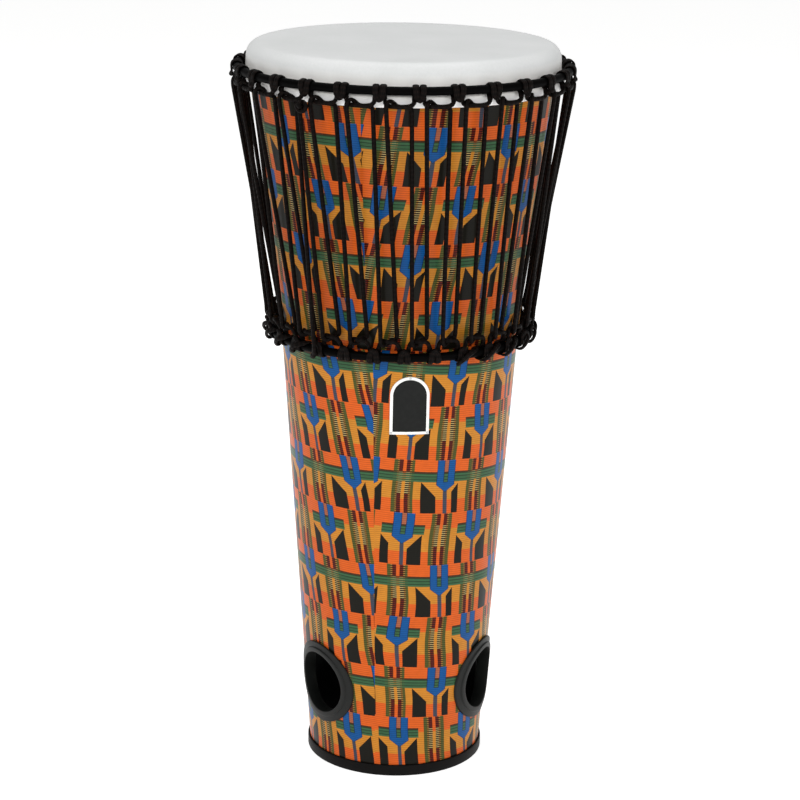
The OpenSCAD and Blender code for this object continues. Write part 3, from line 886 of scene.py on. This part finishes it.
def printColour(tree):
    across, rows = namedUv(tree, "printMap")
    drift = noiseValue(tree, objectPoint(tree), scale=cloth["warpScale"], detail=1)
    warp = calc(tree, "SUBTRACT", drift, 0.5)
    across = calc(tree, "MULTIPLY_ADD", warp, cloth["warpAcross"] / cloth["period"], across)
    rows = calc(tree, "MULTIPLY_ADD", warp, cloth["warpDown"] / cloth["row"], rows)
    row = calc(tree, "FLOOR", rows)
    y = calc(tree, "MULTIPLY", calc(tree, "SUBTRACT", rows, row), cloth["row"])
    rowB = calc(tree, "FLOORED_MODULO", row, 2.0)

    def either(pair):
        return calc(tree, "MULTIPLY_ADD", rowB, pair[1] - pair[0], pair[0])

    shifted = calc(tree, "MULTIPLY_ADD", rowB, cloth["shift"], calc(tree, "SUBTRACT", across, cloth["shift"]))
    leftEdge = either(cloth["leftEdge"])
    fromEdge = calc(tree, "SUBTRACT", calc(tree, "MULTIPLY", shifted, cloth["period"]), leftEdge)
    x = calc(tree, "ADD", calc(tree, "FLOORED_MODULO", fromEdge, cloth["period"]), leftEdge)
    fromStem = calc(tree, "ABSOLUTE", x)
    share = calc(tree, "DIVIDE", y, cloth["row"])

    # ground
    ground = stepRamp(tree, share, [(0.0, dye["orange"]), (cloth["goldFrom"], dye["gold"]),
                                    (cloth["goldTo"], dye["orange"])])

    # ladder stripes: hatched edge, pale dashes, ladder, ground, ladder, pale dashes, hatched edge
    fromStart = calc(tree, "SUBTRACT", x, either(cloth["stripeStart"]))
    inStripe = calc(tree, "DIVIDE", fromStart, cloth["stripeWidth"])
    stripes = between(tree, inStripe, 0.0, cloth["stripeEdges"][-1])
    rungWave = calc(tree, "SINE", calc(tree, "MULTIPLY", y, math.tau / cloth["ladderPitch"]))
    rung = calc(tree, "GREATER_THAN", rungWave, cloth["rungLevel"])
    paleRungs = between(tree, y, cloth["bandTop"], cloth["paleFoot"])
    ladderRung = mixColours(tree, paleRungs, dye["oxblood"], dye["cream"])
    ladderDark = mixColours(tree, paleRungs, dye["maroon"], dye["bark"])
    dashes, ladderOne, centre, ladderTwo, dashesTwo, edgeTwo, _ = cloth["stripeEdges"]

    def stripeRamp(edge, dash):
        return stepRamp(tree, inStripe, [
            (0.0, dye[edge]), (dashes, dye[dash]), (ladderOne, dye["bark"]),
            (dashesTwo, dye[dash]), (edgeTwo, dye[edge])])

    ladders = calc(tree, "MAXIMUM", between(tree, inStripe, ladderOne, centre),
                   between(tree, inStripe, ladderTwo, dashesTwo))
    plain = mixColours(tree, ladders, stripeRamp("olive", "umber"), ladderDark)
    rungs = mixColours(tree, ladders, stripeRamp("moss", "straw"), ladderRung)
    stripeColour = mixColours(tree, rung, plain, rungs)
    stripeColour = mixColours(tree, between(tree, inStripe, centre, ladderTwo), stripeColour, ground)
    colour = mixColours(tree, stripes, ground, stripeColour)

    # green band
    inBand = spread(tree, y, 0.0, 1.0, cloth["bandTop"], cloth["bandFoot"])
    threads = [(0.0, dye["umber"])]
    for i, start in enumerate(cloth["bandSteps"]):
        threads.append((start, dye["green"] if i % 2 else dye["darkGreen"]))
    bandColour = stepRamp(tree, inBand, threads)
    reach = calc(tree, "LESS_THAN", fromStem, cloth["bandReach"])
    rowA = calc(tree, "SUBTRACT", 1.0, rowB)
    inBandRows = between(tree, y, cloth["bandTop"], cloth["bandFoot"])
    band = product(tree, inBandRows, calc(tree, "MAXIMUM", reach, rowA))
    onRung = calc(tree, "MULTIPLY", stripes, rung)
    overStripes = calc(tree, "MULTIPLY_ADD", onRung, -cloth["bandFade"], 1.0)
    colour = mixColours(tree, calc(tree, "MULTIPLY", band, overStripes), colour, bandColour)

    # black panels with slanted tops
    for edges, tops in (("leftBlack", "leftBlackTop"), ("rightBlack", "rightBlackTop")):
        left = either([pair[0] for pair in cloth[edges]])
        right = either([pair[1] for pair in cloth[edges]])
        topLeft = either([pair[0] for pair in cloth[tops]])
        topRight = either([pair[1] for pair in cloth[tops]])
        along = calc(tree, "DIVIDE", calc(tree, "SUBTRACT", x, left), calc(tree, "SUBTRACT", right, left))
        top = calc(tree, "MULTIPLY_ADD", along, calc(tree, "SUBTRACT", topRight, topLeft), topLeft)
        panel = product(tree, between(tree, x, left, right), between(tree, y, top, cloth["blackFoot"]))
        colour = mixColours(tree, panel, colour, dye["black"])

    # stem and fork
    stem = product(tree, calc(tree, "LESS_THAN", fromStem, either(cloth["stemHalf"])),
                   calc(tree, "GREATER_THAN", y, cloth["stemTop"]))
    colour = mixColours(tree, stem, colour, dye["slate"])
    gap = product(tree, calc(tree, "LESS_THAN", fromStem, cloth["forkGap"]),
                  calc(tree, "LESS_THAN", y, cloth["bandTop"]))
    colour = mixColours(tree, gap, colour, dye["clay"])
    taperTop, tip = cloth["forkTaper"]
    forkHalf = calc(tree, "MULTIPLY", spread(tree, y, 1.0, 0.0, taperTop, tip), cloth["forkHalf"])
    prongs = calc(tree, "MAXIMUM", calc(tree, "GREATER_THAN", fromStem, cloth["forkGap"]),
                  calc(tree, "GREATER_THAN", y, cloth["forkGapFoot"]))
    fork = product(tree, calc(tree, "LESS_THAN", fromStem, forkHalf), prongs)
    outerRim = calc(tree, "GREATER_THAN", fromStem, calc(tree, "SUBTRACT", forkHalf, cloth["forkRim"]))
    innerRim = product(tree, calc(tree, "LESS_THAN", fromStem, cloth["forkGap"] + cloth["forkRim"]),
                       calc(tree, "LESS_THAN", y, cloth["forkGapFoot"] + cloth["forkRim"]))
    rim = calc(tree, "MAXIMUM", outerRim, innerRim)
    colour = mixColours(tree, fork, colour, mixColours(tree, rim, dye["blue"], dye["blueEdge"]))

    # ribs of the weave and uneven dye
    rib = calc(tree, "SINE", calc(tree, "MULTIPLY", y, math.tau / cloth["ribPitch"]))
    uneven = noiseValue(tree, objectPoint(tree), scale=cloth["unevenScale"], detail=3)
    shade = calc(tree, "MULTIPLY_ADD", rib, cloth["ribDepth"], spread(tree, uneven, *cloth["uneven"]))
    return mixColours(tree, 1.0, colour, shade, "MULTIPLY")


def wrapMaterial():
    material, tree, shader = startMaterial("wovenPrintFilm")
    ripple = noiseValue(tree, objectPoint(tree), scale=30, detail=2)
    setShader(tree, shader, colour=printColour(tree), roughness=spread(tree, ripple, 0.30, 0.42),
              shine=0.08, coat=0.08, coatRoughness=0.10,
              normal=bumpNormal(tree, ripple, strength=0.06, distance=0.002))
    return material


finishPiece(wrapPiece(), "printed_film", ["print_wrap"], wrapMaterial(), smooth=30)
print("wrap printed")


# Rubber: base ring and port grommets
base = {
    "height": 0.011,
    "wall": 0.003,
    "floor": 0.003,
    "innerShare": 0.8,       # height of its inner wall
    "round": 0.0009,
    "steps": 192,
    "rubber": ("#080707", "#0f0d0c", 0.4, 0.08),
}


def roundEdges(piece, width, segments=3, angle=35):
    soften = piece.modifiers.new("softEdges", "BEVEL")
    soften.width = width
    soften.segments = segments
    soften.limit_method = "ANGLE"
    soften.angle_limit = math.radians(angle)
    applyAll(piece)


def basePiece():
    gap = drum["seatGap"]
    wall = base["wall"]
    innerTop = base["innerShare"] * base["height"]
    outer = shellRadius(0) + wall + gap
    grooveOutTop = shellRadius(base["height"]) + gap
    grooveOutLow = shellRadius(base["floor"]) + gap
    grooveInTop = shellRadius(innerTop) - drum["shellWall"] - gap
    grooveInLow = shellRadius(base["floor"]) - drum["shellWall"] - gap
    inner = grooveInLow - wall
    outline = [
        (inner, 0), (outer, 0), (outer, base["height"]), (grooveOutTop, base["height"]),
        (grooveOutLow, base["floor"]), (grooveInLow, base["floor"]),
        (grooveInTop, innerTop), (inner, innerTop),
    ]
    piece = spinOutline("baseRing", outline, base["steps"])
    roundEdges(piece, base["round"])
    return piece


def flatGrommet():
    # spun flat round its own bore; the outline's height is measured from the bare shell
    seat = drum["wrapThickness"] + drum["seatGap"]
    top = seat + port["flangeThickness"]
    lipTop = top + port["lipHeight"]
    neck = port["bore"] + port["neck"]
    insideTop = -drum["shellWall"] - drum["seatGap"]
    insideLow = insideTop - port["insideThickness"]
    insideRim = neck + port["insideWidth"]
    lip = port["bore"] + port["lipWidth"]
    rim = neck + port["flange"]
    outline = [
        (port["bore"], insideLow), (insideRim, insideLow), (insideRim, insideTop), (neck, insideTop),
        (neck, seat), (rim, seat), (rim, top), (lip, top), (lip, lipTop), (port["bore"], lipTop),
    ]
    piece = spinOutline("flatGrommet", outline, port["steps"])
    roundEdges(piece, port["round"])
    return piece


def seatOnShell(piece, azimuth, centreZ):
    # x and y of the flat piece run across and up, z stands off the bare shell
    turn = Matrix.Rotation(math.radians(azimuth), 3, "Z")
    for vertex in piece.data.vertices:
        across, up, off = vertex.co
        z = centreZ + up
        reach = shellRadius(z) + off
        vertex.co = turn @ Vector((across, -math.sqrt(reach * reach - across * across), z))


def rubberMaterial(name, dark, light, roughness, shine):
    material, tree, shader = startMaterial(name)
    place = objectPoint(tree)
    grain = noiseValue(tree, place, scale=1100, detail=2)
    smudge = noiseValue(tree, place, scale=45, detail=3)
    tone = blendNoise(tree, grain, smudge, 0.35)
    setShader(tree, shader, colour=toneRamp(tree, tone, dark, light),
              roughness=spread(tree, tone, roughness, roughness + 0.2), shine=shine,
              normal=bumpNormal(tree, grain, strength=0.15, distance=0.0002))
    return material


grommetRubber = rubberMaterial("grommetRubber", *port["rubber"])
baseRubber = rubberMaterial("baseRubber", *base["rubber"])
finishPiece(basePiece(), "base_rubber", ["base_ring"], baseRubber)
grommetPattern = flatGrommet()
for nodeName, azimuth in port["nodes"].items():
    grommet = copyPiece(grommetPattern, nodeName.split("_")[0] + "Grommet")
    seatOnShell(grommet, azimuth, port["z"])
    finishPiece(grommet, "grommet_rubber", [nodeName], grommetRubber)
bpy.data.objects.remove(grommetPattern)
print("rubber fitted")


# Badge: an arched plate with a raised pale border
badge = {
    "width": 0.0375,
    "height": 0.0575,
    "z": 0.391,
    "thickness": 0.0009,
    "border": 0.003,
    "borderRise": 0.0005,
    "round": 0.00025,
    "sideSteps": 16,
    "archSteps": 32,
    "borderFoot": 0.0004,    # a loop beside the border keeps its foot crisp
    "coreHalf": 0.0006,      # half width of the innermost loop
    "field": ("#0d0e0d", "#141514", 0.3),          # dark, light and roughness
    "borderPaint": ("#dfdfdc", "#efefec", 0.35),
    "pinRadius": 0.0012,
    "pinRise": 0.0007,
    "pinUnder": 0.00002,
    "pinShank": 0.0008,
    "pinLength": 0.004,
    "pinSteps": 20,
}


def archPoints(inset):
    half = badge["width"] / 2 - inset
    top = badge["height"] / 2 - badge["width"] / 2
    foot = -badge["height"] / 2 + inset
    points = [(half, foot + (top - foot) * i / badge["sideSteps"]) for i in range(badge["sideSteps"])]
    for i in range(badge["archSteps"] + 1):
        turn = math.pi * i / badge["archSteps"]
        points.append((half * math.cos(turn), top + half * math.sin(turn)))
    points += [(-half, top + (foot - top) * i / badge["sideSteps"]) for i in range(1, badge["sideSteps"] + 1)]
    points += [(-half + 2 * half * i / badge["sideSteps"], foot) for i in range(1, badge["sideSteps"])]
    return points


def badgePiece():
    seat = drum["wrapThickness"] + drum["seatGap"]
    field = seat + badge["thickness"]
    top = field + badge["borderRise"]
    soft = badge["round"]
    border = badge["border"]
    middle = badge["width"] / 2
    core = middle - badge["coreHalf"]
    # (inset, height off the shell) from the back's middle round the edge to the face's middle
    rims = [(core, seat), (middle / 2, seat), (0, seat), (0, top - soft),
            (soft * 0.3, top - soft * 0.3), (soft, top), (border - soft, top), (border, field),
            (border + badge["borderFoot"], field)]
    rims += [(border + (core - border) * share, field) for share in (0.25, 0.5, 0.75, 1.0)]
    loops = [archPoints(inset) for inset, _ in rims]
    count = len(loops[0])
    vertices = [(x, y, height) for loop, (_, height) in zip(loops, rims) for x, y in loop]
    piece = skinLoops("badgePlate", vertices, count)
    firstPale, lastPale = 2, 5   # strips between two rims, from the edge's foot to the border's top
    for face in piece.data.polygons:
        face.material_index = 1 if firstPale <= face.index // count <= lastPale else 0
    pick(piece)
    bpy.ops.object.mode_set(mode="EDIT")
    bpy.ops.mesh.select_all(action="SELECT")
    bpy.ops.mesh.normals_make_consistent(inside=False)
    bpy.ops.object.mode_set(mode="OBJECT")
    seatOnShell(piece, 0, badge["z"])
    return piece


def pinsPiece():
    inset = badge["border"] / 2
    stand = drum["wrapThickness"] + drum["seatGap"] + badge["thickness"] + badge["borderRise"]
    shank = badge["pinShank"]
    low = -badge["pinLength"]
    outline = [(0, low), (shank, low), (shank, 0), (badge["pinRadius"], badge["pinUnder"])]
    outline += [(badge["pinRadius"] * math.cos(a), badge["pinRise"] * math.sin(a))
                for a in (0.3, 0.6, 0.9, 1.2)] + [(0, badge["pinRise"])]
    places = [
        (0, badge["height"] / 2 - inset),
        (-badge["width"] / 2 + inset, -badge["height"] / 2 + inset),
        (badge["width"] / 2 - inset, -badge["height"] / 2 + inset),
    ]
    first = spinOutline("badgePins", outline, badge["pinSteps"], closed=False)
    copies = []
    for x, y in places[1:]:
        other = copyPiece(first, "badgePinCopy")
        other.data.transform(Matrix.Translation((x, y, stand)))
        copies.append(other)
    first.data.transform(Matrix.Translation((*places[0], stand)))
    pick(first)
    for other in copies:
        other.select_set(True)
    bpy.ops.object.join()
    seatOnShell(first, 0, badge["z"])
    return first


def enamelMaterial(name, dark, light, roughness):
    material, tree, shader = startMaterial(name)
    haze = noiseValue(tree, objectPoint(tree), scale=260, detail=3)
    setShader(tree, shader, colour=toneRamp(tree, haze, dark, light),
              roughness=spread(tree, haze, roughness, roughness + 0.14), shine=0.15)
    return material


def metalMaterial(name, tone, roughness):
    material, tree, shader = startMaterial(name)
    scratch = noiseValue(tree, objectPoint(tree), scale=700, detail=3)
    setShader(tree, shader, colour=hexColour(tone), metal=1.0,
              roughness=spread(tree, scratch, roughness, roughness + 0.2),
              normal=bumpNormal(tree, scratch, strength=0.1, distance=0.0001))
    return material


badgeField = enamelMaterial("badgeField", *badge["field"])
badgeBorder = enamelMaterial("badgeBorder", *badge["borderPaint"])
finishPiece(badgePiece(), "badge_plastic", ["badge_plate"], badgeField, badgeBorder, smooth=30)
finishPiece(pinsPiece(), "pin_metal", ["badge_pins"], metalMaterial("pinMetal", "#c4c6c8", 0.28))
print("badge pinned")


# Frame parts that stay as they are, with their own finish
def dressNode(name, material):
    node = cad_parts[name]
    node.data.materials.clear()
    node.data.materials.append(material)


def shellMaterial():
    material, tree, shader = startMaterial("mouldedShell")
    place = objectPoint(tree)
    grain = noiseValue(tree, place, scale=600, detail=3)
    flow = noiseValue(tree, place, scale=9, detail=2)
    setShader(tree, shader, colour=toneRamp(tree, blendNoise(tree, grain, flow, 0.5), "#030303", "#070707"),
              roughness=spread(tree, grain, 0.45, 0.65), shine=0.08,
              normal=bumpNormal(tree, grain, strength=0.2, distance=0.0003))
    return material


dressNode("shell", shellMaterial())
dressNode("flesh_hoop", metalMaterial("hoopSteel", "#8c8f93", 0.3))


# Floor and light
studio = {
    "floorSize": 300.0,
    "floorTone": "#f4f4f3",
    "floorGlow": 0.55,
    "darkRadius": 0.084,     # under the drum the floor doesn't glow
    "sky": 0.45,
    "aimZ": 0.4,             # the lamps point here on the drum's axis
    "lamps": (
        # name, azimuth, distance, height, size, watts
        ("keyLamp", -30, 2.8, 2.2, 1.8, 40),
        ("fillLamp", 35, 2.8, 1.6, 1.8, 23),
        ("topLamp", 180, 0.6, 3.2, 2.4, 40),
    ),
}


def makeStudio():
    clearSelection()
    bpy.ops.mesh.primitive_plane_add(size=studio["floorSize"])
    floor = bpy.context.object
    floor.name = "floor"
    material, tree, shader = startMaterial("paleFloor")
    setShader(tree, shader, colour=hexColour(studio["floorTone"]), roughness=0.9, shine=0.1)
    shader.inputs["Emission Color"].default_value = (1, 1, 1, 1)
    reach = tree.nodes.new("ShaderNodeVectorMath")
    reach.operation = "LENGTH"
    tree.links.new(objectPoint(tree), reach.inputs[0])
    outside = calc(tree, "GREATER_THAN", reach.outputs["Value"], studio["darkRadius"])
    glow = calc(tree, "MULTIPLY", outside, studio["floorGlow"])
    tree.links.new(glow, shader.inputs["Emission Strength"])
    floor.data.materials.append(material)
    world = bpy.data.worlds.new("studioSky")
    world.use_nodes = True
    sky = world.node_tree.nodes["Background"]
    sky.inputs[0].default_value = (1, 1, 1, 1)
    sky.inputs[1].default_value = studio["sky"]
    bpy.context.scene.world = world
    for name, azimuth, distance, height, size, watts in studio["lamps"]:
        bpy.ops.object.light_add(type="AREA", location=at(azimuth, distance, height))
        lamp = bpy.context.object
        lamp.name = name
        lamp.data.shape = "DISK"
        lamp.data.size = size
        lamp.data.energy = watts
        aim = Vector((0, 0, studio["aimZ"])) - lamp.location
        lamp.rotation_euler = aim.to_track_quat("-Z", "Y").to_euler()


makeStudio()
bpy.context.scene.view_settings.view_transform = "Standard"
print("studio lit")
